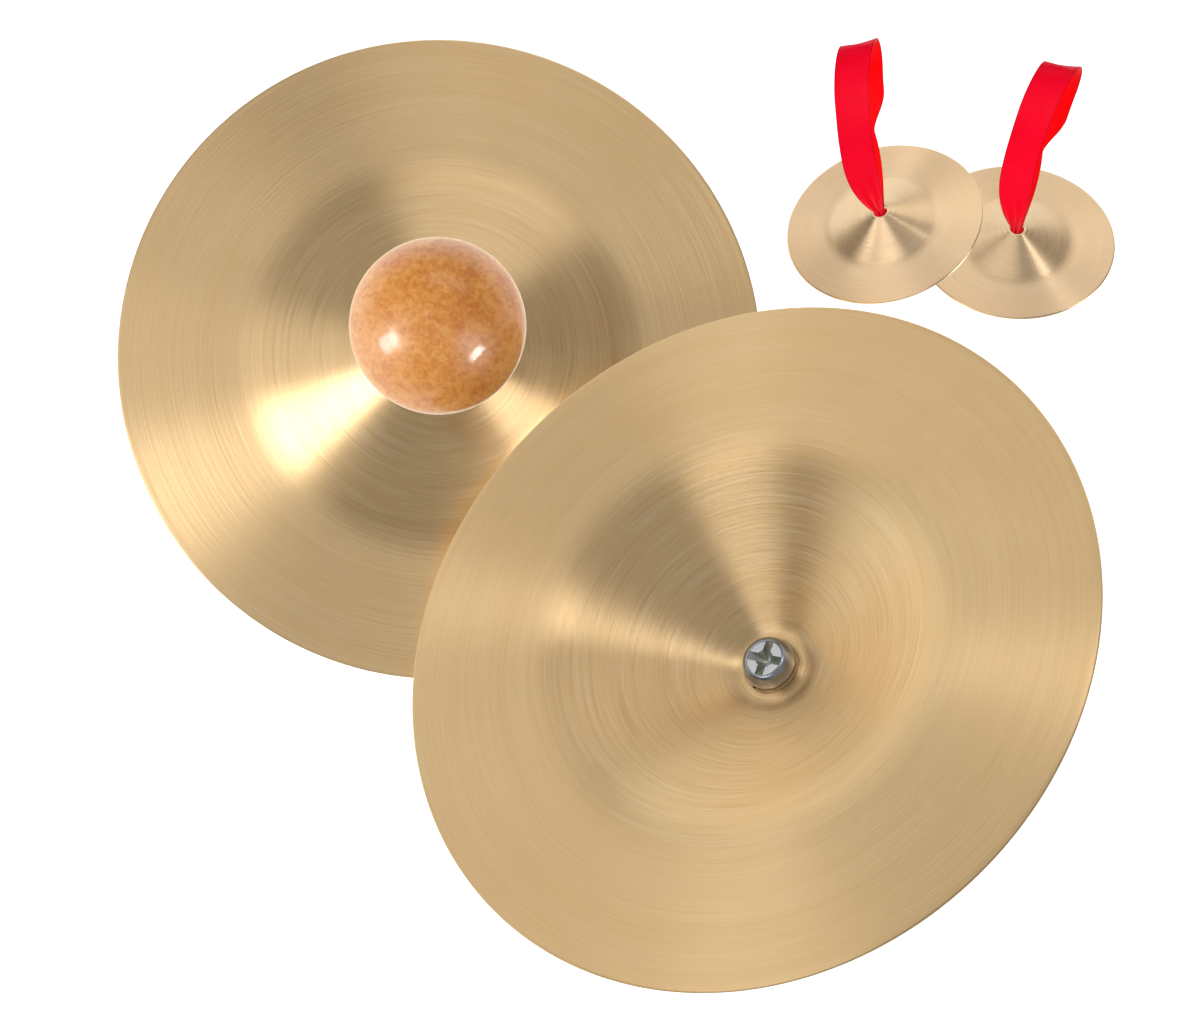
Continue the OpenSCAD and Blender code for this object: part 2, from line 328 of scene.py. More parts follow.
def turned_brass(name, warm, pale, roughness, scale, seat, pitting):
    """Brass sheet turned and brushed in fine rings, so that its gloss spreads along the radius. Its
    marks are scale times as fine as a large plate's, and scratches show most on the cone, as lighter
    and darker arcs in the colour: real marks, with painted glints and painted shade of the grooves.
    A faint ring is pressed in at the seat radius, in millimetres. pitting is how dark the small pits are."""
    n = Nodes(name)
    radius, cos_a, sin_a = ring_coordinates(n)

    def streaks(per_mm, breaks, detail):
        """Noise in rings, per_mm of them along the radius, with more breaks for shorter arcs."""
        across = n.math("MULTIPLY", radius, per_mm * scale)
        place = n.combine(across, n.math("MULTIPLY", cos_a, breaks), n.math("MULTIPLY", sin_a, breaks))
        return n.noise(place, 1.0, detail, 0.6)

    fine = streaks(6.5, 3.2, 3.0)
    medium = streaks(1.9, 1.5, 3.0)
    broad = streaks(0.22, 0.5, 2.0)
    scratch = streaks(1.6, 1.3, 4.0)
    coordinates, _ = n.object_xyz()
    cloud = n.noise(coordinates, 28.0 * scale, 3.0, 0.55)
    specks = n.noise(coordinates, 1500.0 * scale, 1.0, 0.5)

    tone = n.weighted((fine, 0.35), (medium, 0.35), (broad, 0.2), (cloud, 0.25))
    colour = n.ramp(tone, [(0.34, warm), (0.80, pale)])
    colour = n.mix(n.map_range(specks, 0.77, 0.83, 0.0, pitting), colour, (0.34, 0.22, 0.10))
    finer = scale ** 2
    # painted glints and painted shade: scratch arcs are drawn lighter and darker in the colour, for how
    # turned grooves catch and miss the light; strongest on the cone, faint on the flange
    scratch_and_glint_reach = n.map_range(radius, PLATE["cone"] / finer, PLATE["flange"] / finer, 1.0 / finer, 0.15 / finer)
    dark = n.math("MULTIPLY", scratch_and_glint_reach, n.map_range(scratch, 0.54, 0.68, 0.0, 0.20))
    light = n.math("MULTIPLY", scratch_and_glint_reach, n.map_range(scratch, 0.46, 0.32, 0.0, 0.36))
    colour = n.mix(light, n.mix(dark, colour, (0.45, 0.29, 0.13)), (1.0, 0.86, 0.62))

    normal = n.bump(fine, 0.50, 0.00004 / scale ** 3)
    normal = n.bump(medium, 0.50, 0.00012 / scale ** 3, normal)
    from_seat = n.math("ABSOLUTE", n.math("SUBTRACT", radius, seat))
    normal = n.bump(n.map_range(from_seat, 0.0, 0.45, 0.0, 1.0), 0.5, 0.00006, normal)
    n.set(Base_Color=colour, Metallic=1.0, Roughness=n.vary(n.vary(roughness, medium, 0.12), fine, 0.12),
          Normal=normal, Anisotropic=0.95, Anisotropic_Rotation=0.25, Tangent=n.tangent())
    return n.material


def varnished_wood():
    """Mottled orange-brown burr wood under a thick clear varnish."""
    n = Nodes("varnished_wood")
    coordinates, (x, y, z) = n.object_xyz()
    stretched = n.combine(x, y, n.math("MULTIPLY", z, 0.55))
    mottle = n.noise(stretched, 760.0, 8.0, 0.76, 0.6)
    blotch = n.noise(coordinates, 95.0, 3.0, 0.6, 0.9)
    fleck = n.noise(stretched, 1100.0, 3.0, 0.6)
    skin = n.noise(coordinates, 2400.0, 1.0, 0.5)
    tone = n.weighted((mottle, 0.66), (blotch, 0.34))
    colour = n.ramp(tone, [(0.42, (0.68, 0.20, 0.018)), (0.48, (0.80, 0.29, 0.038)),
                           (0.53, (0.87, 0.35, 0.062)), (0.61, (0.93, 0.45, 0.125))])
    colour = n.mix(n.map_range(fleck, 0.56, 0.70, 0.0, 0.30), colour, (0.60, 0.17, 0.03))
    n.set(Base_Color=colour, Roughness=0.5, Normal=n.bump(mottle, 0.10, 0.00005), Coat_Weight=0.85,
          Coat_Roughness=0.02, Coat_IOR=1.3, Coat_Normal=n.bump(skin, 0.4, 0.00004))
    return n.material


def plated_steel(name, base, tint, roughness, face=None, settled=True):
    """Plated metal with faint streaks and dull patches. face is the height in millimetres of a
    screw head's flat face, if it has one: its recess is painted a duller green-grey the deeper it
    goes, and its crown is painted dark blue-grey next to the face, both as painted shade."""
    n = Nodes(name, settled)
    coordinates, (_, _, z) = n.object_xyz()
    patch = n.noise(coordinates, 420.0, 3.0, 0.55)
    grain = n.noise(coordinates, 6000.0, 2.0, 0.5)
    colour = n.ramp(patch, [(0.35, base), (0.65, tint)])
    rough = n.vary(roughness, patch, 0.10)
    if face is not None:
        radius, _, _ = ring_coordinates(n)
        edge = HEAD_FLAT_R + 0.05
        below = n.math("SUBTRACT", n.math("MULTIPLY", z, 1000.0), face)
        inside = n.map_range(radius, edge, edge - 0.2, 0.0, 1.0)
        # painted shade: inside the cross recess the colour turns a duller green-grey the deeper it goes
        recess = n.math("MULTIPLY", inside, n.map_range(below, 0.12, 1.1, 0.0, 0.85))
        colour = n.mix(recess, colour, (0.50, 0.53, 0.44))
        rough = n.math("ADD", rough, n.math("MULTIPLY", recess, 0.2))
        # painted shade: the crown just outside the flat face is darkened and blued, fading down the crown
        outside = n.map_range(radius, edge, edge + 0.4, 0.0, 1.0)
        crown_painted_shade = n.math("MULTIPLY", outside, n.map_range(below, 0.32, 2.52, 0.6, 0.1))
        colour = n.mix(crown_painted_shade, colour, (0.16, 0.18, 0.23))
    n.set(Base_Color=colour, Metallic=1.0, Roughness=rough, Normal=n.bump(grain, 0.25, 0.00001))
    return n.material


WEFTS_PER_MM = 4.2


def satin_ribbon():
    """Red satin: close threads along the strip, a tighter woven edge and a soft sheen. The strip's
    front has UV u from 0 to 1, and its back, the lining, has u from 2 to 3."""
    n = Nodes("red_satin")
    uv = n.add("ShaderNodeUVMap", uv_map="UVMap").outputs[0]
    split = n.add("ShaderNodeSeparateXYZ")
    n.link(uv, split.inputs[0])
    back = n.map_range(split.outputs[0], 1.4, 1.6, 0.0, 1.0)
    across = n.math("SUBTRACT", split.outputs[0], n.math("MULTIPLY", back, 2.0))
    along = split.outputs[1]
    weft = n.math("SINE", n.math("MULTIPLY", along, TAU * WEFTS_PER_MM))
    threads = n.combine(n.math("MULTIPLY", across, 60.0), n.math("MULTIPLY", along, 1.6), 0.0)
    thread = n.noise(threads, 1.0, 3.0)
    patch = n.noise(n.combine(across, n.math("MULTIPLY", along, 0.12), 0.0), 2.0, 2.0)
    edge = n.math("ABSOLUTE", n.math("SUBTRACT", across, 0.5))
    selvedge = n.map_range(edge, 0.455, 0.485, 0.0, 1.0)
    tone = n.weighted((thread, 0.6), (patch, 0.4))
    face = n.ramp(tone, [(0.3, (0.80, 0.0, 0.014)), (0.7, (0.97, 0.0, 0.026))])
    lining = n.ramp(tone, [(0.3, (0.90, 0.0, 0.002)), (0.7, (1.0, 0.0, 0.004))])
    colour = n.mix(back, face, lining)
    colour = n.mix(n.math("MULTIPLY", selvedge, 0.6), colour, (0.40, 0.0, 0.004))
    height = n.math("ADD", n.math("MULTIPLY", weft, 0.35), thread)
    n.set(Base_Color=colour, Roughness=0.42, Normal=n.bump(height, 0.25, 0.00004),
          Sheen_Weight=0.12, Sheen_Roughness=0.4, Sheen_Tint=(1.0, 0.02, 0.08, 1), Specular_IOR_Level=0.06,
          Anisotropic=0.5, Tangent=n.tangent())
    return n.material


def plain_floor():
    """A pale matt floor that glows a little, so that it stays as light as a studio sweep."""
    n = Nodes("pale_floor", settled=False)
    coordinates, _ = n.object_xyz()
    cloud = n.noise(coordinates, 3.0, 2.0)
    n.set(Base_Color=n.ramp(cloud, [(0.3, (0.90, 0.90, 0.90)), (0.7, (0.92, 0.92, 0.92))]), Roughness=0.6,
          Specular_IOR_Level=0.25, Emission_Color=(0.84, 1.0, 1.08, 1), Emission_Strength=0.66)
    n.material.cycles.emission_sampling = "NONE"
    return n.material


BRASS = turned_brass("turned_brass", (0.82, 0.54, 0.255), (0.97, 0.71, 0.40), 0.35,
                     scale=1.0, seat=7.4, pitting=0.25)
FINGER_BRASS = turned_brass("finger_brass", (0.84, 0.57, 0.32), (0.98, 0.735, 0.475), 0.30,
                            scale=1.6, seat=2.6, pitting=0.0)
WOOD = varnished_wood()
SCREW_STEEL = plated_steel("screw_steel", (0.52, 0.54, 0.57), (0.64, 0.66, 0.68), 0.26, HEAD_FACE)
# painted reflection and painted shade: the steel washer is coloured a dark brown-gold, for the brass around
# it and the shade under the screw head
WASHER_STEEL = plated_steel("washer_steel", (0.42, 0.34, 0.23), (0.58, 0.50, 0.38), 0.30)
INSERT_BRASS = plated_steel("insert_brass", (0.60, 0.42, 0.18), (0.75, 0.55, 0.26), 0.35, settled=False)
SATIN = satin_ribbon()


def settle(obj):
    """Moves a piece's place into its mesh, and keeps its own coordinates there for its material."""
    mesh = obj.data
    own = np.empty(3 * len(mesh.vertices), np.float32)
    mesh.vertices.foreach_get("co", own)
    mesh.attributes.new(OWN_PLACE, "FLOAT_VECTOR", "POINT").data.foreach_set("vector", own)
    mesh.transform(obj.matrix_world)
    obj.matrix_world = Matrix.Identity(4)


def finish_piece(obj, material, body, slot, *replaced):
    settle(obj)
    obj.data.materials.clear()
    obj.data.materials.append(material)
    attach(obj, body)
    if replaced:
        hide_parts(*replaced)


# ---------------------------------------------------------------- plates
def dish_slope(p, r):
    """Slope of the dish at radius r: level centre, straight cone, smooth bend, shallow flange."""
    bend = p["flange"] - p["cone"]
    cone = ((p["depth"] - p["slope"] * (p["band"] - p["flange"]) - p["slope"] * bend / 2)
            / ((p["cone"] - p["flat"]) + bend / 2))
    soft = 0.2 * p["flat"]
    slope = cone * smoothstep(r, p["flat"] - soft, p["flat"] + soft)
    slope = slope + (p["slope"] - cone) * smoothstep(r, p["cone"], p["flange"])
    return slope * (1 - smoothstep(r, p["band"] - 0.4, p["band"] + 0.4))


LIP = 0.3
RIM_ROUND = 0.35
FINE_STEPS = 4000
MIDDLE_ROWS = 20
OUTSIDE_ROWS = 84


def dish_curve(p):
    """Radii, heights and slopes of the concave face, from the hole to the rim."""
    fine = np.linspace(p["hole"], p["rim"], FINE_STEPS)
    slope = dish_slope(p, fine)
    ripple = sum(a * np.sin(TAU * fine / w + s) for a, w, s in p["ripples"])
    slope = slope + ripple * smoothstep(fine, p["flat"], p["flat"] * 1.6)
    fall = np.concatenate([[0], np.cumsum((slope[1:] + slope[:-1]) / 2 * np.diff(fine))])
    height = fall[-1] - fall
    bend_end = max(p["flat"] * 1.4, p["hole"] + 1)
    middle = np.linspace(p["hole"] + LIP, bend_end, MIDDLE_ROWS)
    outside = np.linspace(bend_end, p["rim"] - RIM_ROUND, OUTSIDE_ROWS)
    wanted = np.concatenate([middle, outside[1:]])
    return wanted, np.interp(wanted, fine, height), np.interp(wanted, fine, slope)


def dish(name, p, place):
    """A plate: its concave face, its round rim, its convex face and the round lip of its hole."""
    radius, height, slope = dish_curve(p)
    under = list(zip(radius, height))
    over = list(zip(radius, height + p["thick"] * np.sqrt(1 + slope ** 2)))
    half = p["thick"] / 2
    turns = np.linspace(-math.pi / 2, math.pi / 2, 9)[1:-1]
    rim_z = (over[-1][1] + under[-1][1]) / 2
    rim = [(p["rim"] - RIM_ROUND + RIM_ROUND * math.cos(a), rim_z + half * math.sin(a)) for a in turns]
    lip_z = (over[0][1] + under[0][1]) / 2
    lip = [(p["hole"] + LIP - LIP * math.cos(a), lip_z + half * math.sin(a)) for a in turns[::-1]]
    return revolve(name, under + rim + over[::-1] + lip, p["segments"], place)


for side in ("left", "right"):
    plate = dish("brushed_plate_" + side, PLATE, cymbal_place(side))
    finish_piece(plate, BRASS, "cymbal_" + side, "plate_brass", "plate_" + side)
    small = dish("brushed_finger_plate_" + side, FINGER, finger_place(side))
    finish_piece(small, FINGER_BRASS, "finger_" + side, "finger_brass", "finger_plate_" + side)


# ---------------------------------------------------------------- knobs
def neck_radius(u, span):
    """Radius of the neck for u from 0 at the foot to 1 at the ball, whose slope it meets."""
    join_r = KNOB_R * math.sin(NECK_ANGLE)
    join_slope = -1 / math.tan(NECK_ANGLE)
    return ((2 * u ** 3 - 3 * u ** 2 + 1) * FOOT_R + (u ** 3 - 2 * u ** 2 + u) * -0.1 * span
            + (3 * u ** 2 - 2 * u ** 3) * join_r + (u ** 3 - u ** 2) * join_slope * span)


FOOT_EDGE = 0.6


def knob(name, place):
    """A ball on a neck that widens to its foot, with a well for the insert and the screw's end."""
    base = PLATE["depth"] + PLATE["thick"] + SEAT_GAP
    foot_top = base + FOOT_EDGE
    neck_top = KNOB_CENTRE + KNOB_R * math.cos(NECK_ANGLE)
    ball = [(KNOB_R * math.sin(a), KNOB_CENTRE + KNOB_R * math.cos(a))
            for a in np.linspace(0, NECK_ANGLE, 64)]
    neck = [(neck_radius(u, neck_top - foot_top), foot_top + (neck_top - foot_top) * u)
            for u in np.linspace(1, 0, 24)[1:]]
    edge = [(FOOT_R - FOOT_EDGE + FOOT_EDGE * math.cos(a), foot_top - FOOT_EDGE * math.sin(a))
            for a in np.linspace(0, math.pi / 2, 7)[1:]]
    well_r, well_top = INSERT_R + 0.02, base + INSERT_LENGTH + 0.05
    bore_r, bore_top = SCREW_R + 0.2, base + 16.0
    well = [(well_r, base), (well_r, well_top), (bore_r, well_top), (bore_r, bore_top), (0, bore_top)]
    return revolve(name, ball + neck + edge + well, 144, place, closed=False)


for side in ("left", "right"):
    ball = knob("turned_knob_" + side, cymbal_place(side))
    finish_piece(ball, WOOD, "handle_" + side, "knob_wood", "knob_" + side)
    insert = frame["nodes"]["insert_" + side]
    insert.data.materials.clear()
    insert.data.materials.append(INSERT_BRASS)


# ---------------------------------------------------------------- screws and washers
THREAD_PITCH = 1.0
THREAD_DEPTH = 0.5
ROWS_PER_PITCH = 8
THREAD_START = HEAD_SEAT + 1.5
THREAD_END = HEAD_SEAT + SCREW_LENGTH - 0.4


def thread_depth(r, z, angle):
    """Cuts a helical thread into the shank, which fades out at both ends."""
    if r > SCREW_R + 0.01 or z < THREAD_START or z > THREAD_END:
        return r
    phase = (z / THREAD_PITCH - angle / TAU) % 1.0
    return r - THREAD_DEPTH * abs(2 * phase - 1) * min(1, z - THREAD_START, THREAD_END - z)


def cross_cutter(place):
    """A tapered cross that cuts the screw's recess, wide at the head's face and narrow inside."""
    def outline(length, width, corner):
        """A cross with arms of half a length and half a width, and webs out to the corners."""
        arm = [(corner, -width), (length, -width), (length, width), (corner, width)]
        return [(x * c - y * s, x * s + y * c) for c, s in ((1, 0), (0, 1), (-1, 0), (0, -1)) for x, y in arm]

    # length, width, corner and depth below the head's face
    levels = [(4.25, 0.98, 1.85, -0.4), (3.95, 0.90, 1.75, 0.0), (2.6, 0.70, 1.35, 1.2),
              (1.2, 0.42, 0.75, 2.4), (0.4, 0.15, 0.20, 2.8)]
    verts = [(x, y, HEAD_FACE + depth) for *cross, depth in levels for x, y in outline(*cross)]
    around = len(outline(1, 1, 1))
    faces = [list(range(around))[::-1], [around * (len(levels) - 1) + i for i in range(around)]]
    for level in range(len(levels) - 1):
        for i in range(around):
            a, b = around * level + i, around * level + (i + 1) % around
            faces.append([a, b, b + around, a + around])
    cutter = make_object("cutter", verts, faces, place)
    bm = bmesh.new()
    bm.from_mesh(cutter.data)
    bmesh.ops.recalc_face_normals(bm, faces=bm.faces)
    bm.to_mesh(cutter.data)
    bm.free()
    return cutter


def screw(name, place):
    """A pan-head screw with a flat face, a round crown, a cross recess and a threaded shank."""
    out, down = HEAD_R - HEAD_FLAT_R, HEAD_H - 0.5
    crown = [(HEAD_FLAT_R + out * math.sin(a), HEAD_FACE + down * (1 - math.cos(a)))
             for a in np.linspace(0, math.pi / 2, 14)]
    face = [(r, HEAD_FACE) for r in (0, 1.2, 2.4, HEAD_FLAT_R - 0.25)]
    skirt = [(HEAD_R, HEAD_SEAT - 0.45), (HEAD_R - 0.10, HEAD_SEAT - 0.22), (HEAD_R - 0.45, HEAD_SEAT),
             (SCREW_R, HEAD_SEAT)]
    end = HEAD_SEAT + SCREW_LENGTH
    rows = int(SCREW_LENGTH * ROWS_PER_PITCH / THREAD_PITCH)
    shank = [(SCREW_R, HEAD_SEAT + SCREW_LENGTH * i / rows) for i in range(1, rows - 3)]
    tip = [(SCREW_R - THREAD_DEPTH, end), (0, end)]
    obj = revolve(name, face + crown + skirt + shank + tip, 64, place, closed=False, radius_at=thread_depth)
    cutter = cross_cutter(place)
    cut = obj.modifiers.new("recess", "BOOLEAN")
    cut.operation = "DIFFERENCE"
    cut.object = cutter
    cut.solver = "EXACT"
    bpy.context.view_layer.update()
    result = bpy.data.meshes.new_from_object(obj.evaluated_get(bpy.context.evaluated_depsgraph_get()))
    obj.modifiers.clear()
    obj.data = result
    bpy.data.objects.remove(cutter)
    soften_face(result, HEAD_FACE * MM)
    return obj


def soften_face(mesh, level):
    """Rounds the edges that bound the head's flat face."""
    bm = bmesh.new()
    bm.from_mesh(mesh)
    bmesh.ops.remove_doubles(bm, verts=bm.verts, dist=1e-6)
    rim = [e for e in bm.edges if len(e.link_faces) == 2 and all(abs(v.co.z - level) < 2e-6 for v in e.verts)
           and e.calc_face_angle(0) > math.radians(35)]
    bmesh.ops.bevel(bm, geom=rim, offset=0.12 * MM, segments=3, profile=0.5, affect="EDGES",
                    clamp_overlap=True)
    bm.to_mesh(mesh)
    bm.free()
    mesh.shade_smooth()
    mesh.set_sharp_from_angle(angle=math.radians(40))


def lock_washer(name, place):
    """A split ring whose two ends stand a little apart, and which sits a little off the middle."""
    outer, inner, gap = WASHER_R + 0.2, SCREW_R + 0.15, math.radians(8)
    off_middle = 0.14
    bevel = 0.15
    rise = 0.072
    section = [(outer - bevel, 0), (outer, bevel), (outer, WASHER_H - bevel), (outer - bevel, WASHER_H),
               (inner + bevel, WASHER_H), (inner, WASHER_H - bevel), (inner, bevel), (inner + bevel, 0)]
    sides = len(section)
    turns = 96
    verts, faces = [], []
    for k in range(turns + 1):
        angle = gap / 2 + (TAU - gap) * k / turns
        bottom = HEAD_SEAT + 0.06 + rise * (k / turns - 0.5)
        for r, z in section:
            verts.append((r * math.cos(angle), r * math.sin(angle) + off_middle, bottom + z * 0.9))
    for k in range(turns):
        for i in range(sides):
            j = (i + 1) % sides
            faces.append([sides * k + i, sides * (k + 1) + i, sides * (k + 1) + j, sides * k + j])
    faces.append(list(range(sides)))
    faces.append([sides * turns + i for i in reversed(range(sides))])
    return make_object(name, verts, faces, place)


CROSS_TURN = {"left": 20, "right": 114}
SPLIT_TURN = {"left": 120, "right": 130}

for side in ("left", "right"):
    place = cymbal_place(side)
    turned = place @ Matrix.Rotation(math.radians(CROSS_TURN[side]), 4, "Z")
    bolt = screw("cross_screw_" + side, turned)
    finish_piece(bolt, SCREW_STEEL, "handle_" + side, "screw_steel", "screw_" + side)
    turned = place @ Matrix.Rotation(math.radians(SPLIT_TURN[side]), 4, "Z")
    ring = lock_washer("split_washer_" + side, turned)
    finish_piece(ring, WASHER_STEEL, "handle_" + side, "washer_steel", "washer_" + side)


# ---------------------------------------------------------------- ribbons
def strap(name, rings, thickness, place=None):
    """A closed thin sheet from rings of points across it. rings[i][j] is in millimetres. UV v runs
    along the strip in millimetres; u runs across it, from 0 to 1 on the front and 2 to 3 on the back."""
    rings = np.array(rings, float)
    count, across = rings.shape[:2]
    du = np.gradient(rings, axis=0)
    dv = np.gradient(rings, axis=1)
    normal = np.cross(du, dv)
    normal /= np.maximum(np.linalg.norm(normal, axis=2, keepdims=True), 1e-9)
    middle = rings[:, across // 2]
    lengths = np.concatenate([[0], np.cumsum(np.linalg.norm(np.diff(middle, axis=0), axis=1))])
    sheets = [rings + normal * thickness / 2, rings - normal * thickness / 2]
    verts = [tuple(p) for sheet in sheets for row in sheet for p in row]
    size = count * across
    faces, uvs = [], []

    def add(corners):
        faces.append([side * size + i * across + j for side, i, j in corners])
        back = 2 * min(side for side, _, _ in corners)
        uvs.extend((j / (across - 1) + back, lengths[i]) for _, i, j in corners)

    for i in range(count - 1):
        for j in range(across - 1):
            add([(0, i, j), (0, i + 1, j), (0, i + 1, j + 1), (0, i, j + 1)])
            add([(1, i, j), (1, i, j + 1), (1, i + 1, j + 1), (1, i + 1, j)])
        add([(0, i + 1, 0), (0, i, 0), (1, i, 0), (1, i + 1, 0)])
        last = across - 1
        add([(0, i, last), (0, i + 1, last), (1, i + 1, last), (1, i, last)])
    for j in range(across - 1):
        add([(0, 0, j), (0, 0, j + 1), (1, 0, j + 1), (1, 0, j)])
        end = count - 1
        add([(0, end, j + 1), (0, end, j), (1, end, j), (1, end, j + 1)])
    return make_object(name, verts, faces, place, uvs, 50)


def loop_point(t):
    """The strap's middle line in the loop's own frame, for t from 0 to a whole turn."""
    z = LOOP_LENGTH * (1 - math.cos(t)) / 2
    x = -0.72 * math.cos(t / 2) - LOOP_HALF_GAP * math.sin(t) * math.sin(t / 2)
    part = z / LOOP_LENGTH
    risen = smoothstep(part, 0.40, 0.64)
    step = LOOP_STEP * risen + LOW_STEP * (1 - risen) * math.sin(math.pi * min(part / 0.64, 1))
    y = (LOOP_BOW * math.sin(math.pi * part ** 0.8) + TOP_DRIFT * part ** 2
         - step * smoothstep(t, math.pi - 1, math.pi + 1))
    return np.array((x, y, z))


GATHER_W = 2.2
GATHER_H = 16.0
PLEATS = 2.5
KNOT_DEPTH = 3.4
KNOT_CENTRE = FINGER["depth"] - 2.9
STRAND_OFFSET = 0.62
TAIL_W = RIBBON_W - 1.0


def gathered_section(across, height, phase):
    """Offsets along and out of the strip at a height over the hole, where the strip is pleated."""
    open_part = 1 - (1 - min(max(height / GATHER_H, 0), 1)) ** 2
    width = GATHER_W + (RIBBON_W - GATHER_W) * open_part
    fold = 0.62 * (1 - open_part) ** 1.3
    flat = np.linspace(-0.5, 0.5, across)
    out = fold * np.sin(TAU * PLEATS * flat + phase)
    out = out + 0.25 * open_part * (1 - (2 * flat) ** 2) * math.sin(height * 0.11 + phase)
    return flat * width, out


def ribbon_loop(side):
    """The strap, from the knot up through the hole, round the loop and down to the knot."""
    place = loop_place(side)
    to_plate = place.inverted() @ finger_place(side)
    pivot_h = FINGER["depth"] + FINGER["thick"]
    rings = []
    across = 29
    start = 0.36
    ups = np.linspace(start, TAU - start, 150)
    middle = [loop_point(t) for t in ups]
    down_steps = np.linspace(0, 1, 12)[1:]

    def below(first, step):
        """Points from the loop's foot down through the hole to the knot, along the plate's axis."""
        low = to_plate @ Vector((0, 0, (pivot_h - KNOT_DEPTH * step) * MM))
        low = np.array(low) / MM + np.array((math.copysign(STRAND_OFFSET, first[0]), 0, 0))
        return first * (1 - step) ** 2 + low * (1 - (1 - step) ** 2)

    before = [below(middle[0], s) for s in down_steps[::-1]]
    after = [below(middle[-1], s) for s in down_steps]
    line = np.array(before + middle + after)
    run = np.gradient(line, axis=0)
    run /= np.linalg.norm(run, axis=1, keepdims=True)
    for i, (p, d) in enumerate(zip(line, run)):
        side_dir = np.array((0, 1.0, 0)) - d[1] * d
        side_dir /= np.linalg.norm(side_dir)
        out_dir = np.cross(side_dir, d)
        phase = 0.8 if i < len(line) / 2 else 2.4
        along, out = gathered_section(across, p[2], phase)
        rings.append([p + side_dir * a + out_dir * o for a, o in zip(along, out)])
    return strap("satin_loop_" + side, rings, RIBBON_T, place)


def knot(side, place):
    """The ribbon's overhand knot: a pleated band drawn along a trefoil."""
    turns, around = 150, 14
    verts, faces, uvs = [], [], []
    size = 0.78
    half_width, half_thick = 1.25, 0.62
    step = 0.3

    def path(t):
        x = math.sin(t) + 2 * math.sin(2 * t)
        y = math.cos(t) - 2 * math.cos(2 * t)
        return np.array((size * x, size * y, KNOT_CENTRE - 1.25 * size * math.sin(3 * t)))

    for k in range(turns):
        t = TAU * k / turns
        p = path(t)
        d = path(t + 0.01) - path(t - 0.01)
        d /= np.linalg.norm(d)
        out = np.array((p[0], p[1], (p[2] - KNOT_CENTRE) * 0.5))
        out -= out.dot(d) * d
        out /= max(np.linalg.norm(out), 1e-6)
        wide = np.cross(d, out)
        for i in range(around):
            a = TAU * i / around
            crease = 1 + 0.10 * math.sin(5 * a + 2 * t)
            verts.append(p + (wide * half_width * math.cos(a) + out * half_thick * math.sin(a)) * crease)
    for k in range(turns):
        for i in range(around):
            k2, i2 = (k + 1) % turns, (i + 1) % around
            faces.append([k * around + i, k * around + i2, k2 * around + i2, k2 * around + i])
            uvs += [((i + di) / around, (k + dk) * step) for di, dk in ((0, 0), (1, 0), (1, 1), (0, 1))]
    return make_object("satin_knot_" + side, verts, faces, place, uvs, 60)


def tail(side, number, place):
    """One free end of the ribbon, from the knot down to the surface, cut at a slant."""
    at = np.array(place @ Vector((0, 0, KNOT_CENTRE * MM))) / MM
    turn = math.radians(FINGER_POSE[side]["loop"])
    lean = 1 if number == 1 else -1
    outward = np.array((math.cos(turn), math.sin(turn), 0)) * lean
    wide = np.array((-math.sin(turn), math.cos(turn), 0))
    # from the knot's underside to just over the surface
    top, bottom = at[2] - 1.6, 0.25
    rings = []
    across, count = 15, 36
    for i in range(count):
        u = i / (count - 1)
        reach = 0.8 + 5.2 * u ** 1.4 + 0.5 * math.sin(7 * u + number)
        middle = np.array((at[0], at[1], top + (bottom - top) * u)) + outward * reach
        width = GATHER_W + (TAIL_W - GATHER_W) * min(1, u * 2.2) ** 0.7
        fold = 0.45 * (1 - min(1, u * 1.8)) ** 1.2
        row = []
        # f runs across the tail
        for f in np.linspace(-0.5, 0.5, across):
            slant = 0.9 * f * lean * smoothstep(u, 0.55, 1.0)
            curl = fold * math.sin(TAU * 2 * f + number) + 0.5 * u * (2 * f) ** 2 - 0.25 * u
            point = middle + wide * f * width + outward * curl
            point[2] += max(slant, 0.12 - middle[2]) if u > 0.9 else slant
            row.append(point)
        rings.append(row)
    return strap("satin_tail_%d_%s" % (number, side), rings, RIBBON_T)


for side in ("left", "right"):
    body = "finger_" + side
    place = finger_place(side)
    loop = ribbon_loop(side)
    settle(loop)
    loop.data.materials.append(SATIN)
    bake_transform(loop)
    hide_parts("ribbon_loop_" + side)
    tie = knot(side, place)
    finish_piece(tie, SATIN, body, "ribbon_red", "ribbon_knot_" + side)
    for number in (1, 2):
        end = tail(side, number, place)
        finish_piece(end, SATIN, body, "ribbon_red")


# ---------------------------------------------------------------- stage
FLOOR_SIZE = 60.0
FLOOR_DROP = 0.2 * MM
bpy.ops.mesh.primitive_plane_add(size=FLOOR_SIZE, location=(0, 0, -FLOOR_DROP))
floor = bpy.context.active_object
floor.name = "floor"
floor.data.materials.append(plain_floor())

LIGHT_TARGET = Vector((0, 0, 0.02))
LIGHT_DISTANCE = 2.5
GROUPS = {"left": ["brushed_plate_left", "turned_knob_left", "cross_screw_left", "split_washer_left",
                   frame["nodes"]["insert_left"].name],
          "right": ["brushed_plate_right", "turned_knob_right", "cross_screw_right", "split_washer_right"],
          "fingers": ["brushed_finger_plate_left", "brushed_finger_plate_right"],
          "knob": ["turned_knob_left"],
          "ribbons": ["satin_loop_left", "satin_loop_right"]}
GROUPS["right_and_fingers"] = GROUPS["right"] + GROUPS["fingers"]


def linked(group, state):
    """A linking collection that takes in, or leaves out, the pieces of one group."""
    linking = bpy.data.collections.new(state.lower() + "_" + group)
    for name in GROUPS[group]:
        linking.objects.link(bpy.data.objects[name])
    for member in linking.collection_objects:
        member.light_linking.link_state = state
    return linking


EDGE_FADE = 28.0
FADE_MAKE_UP = 1.6


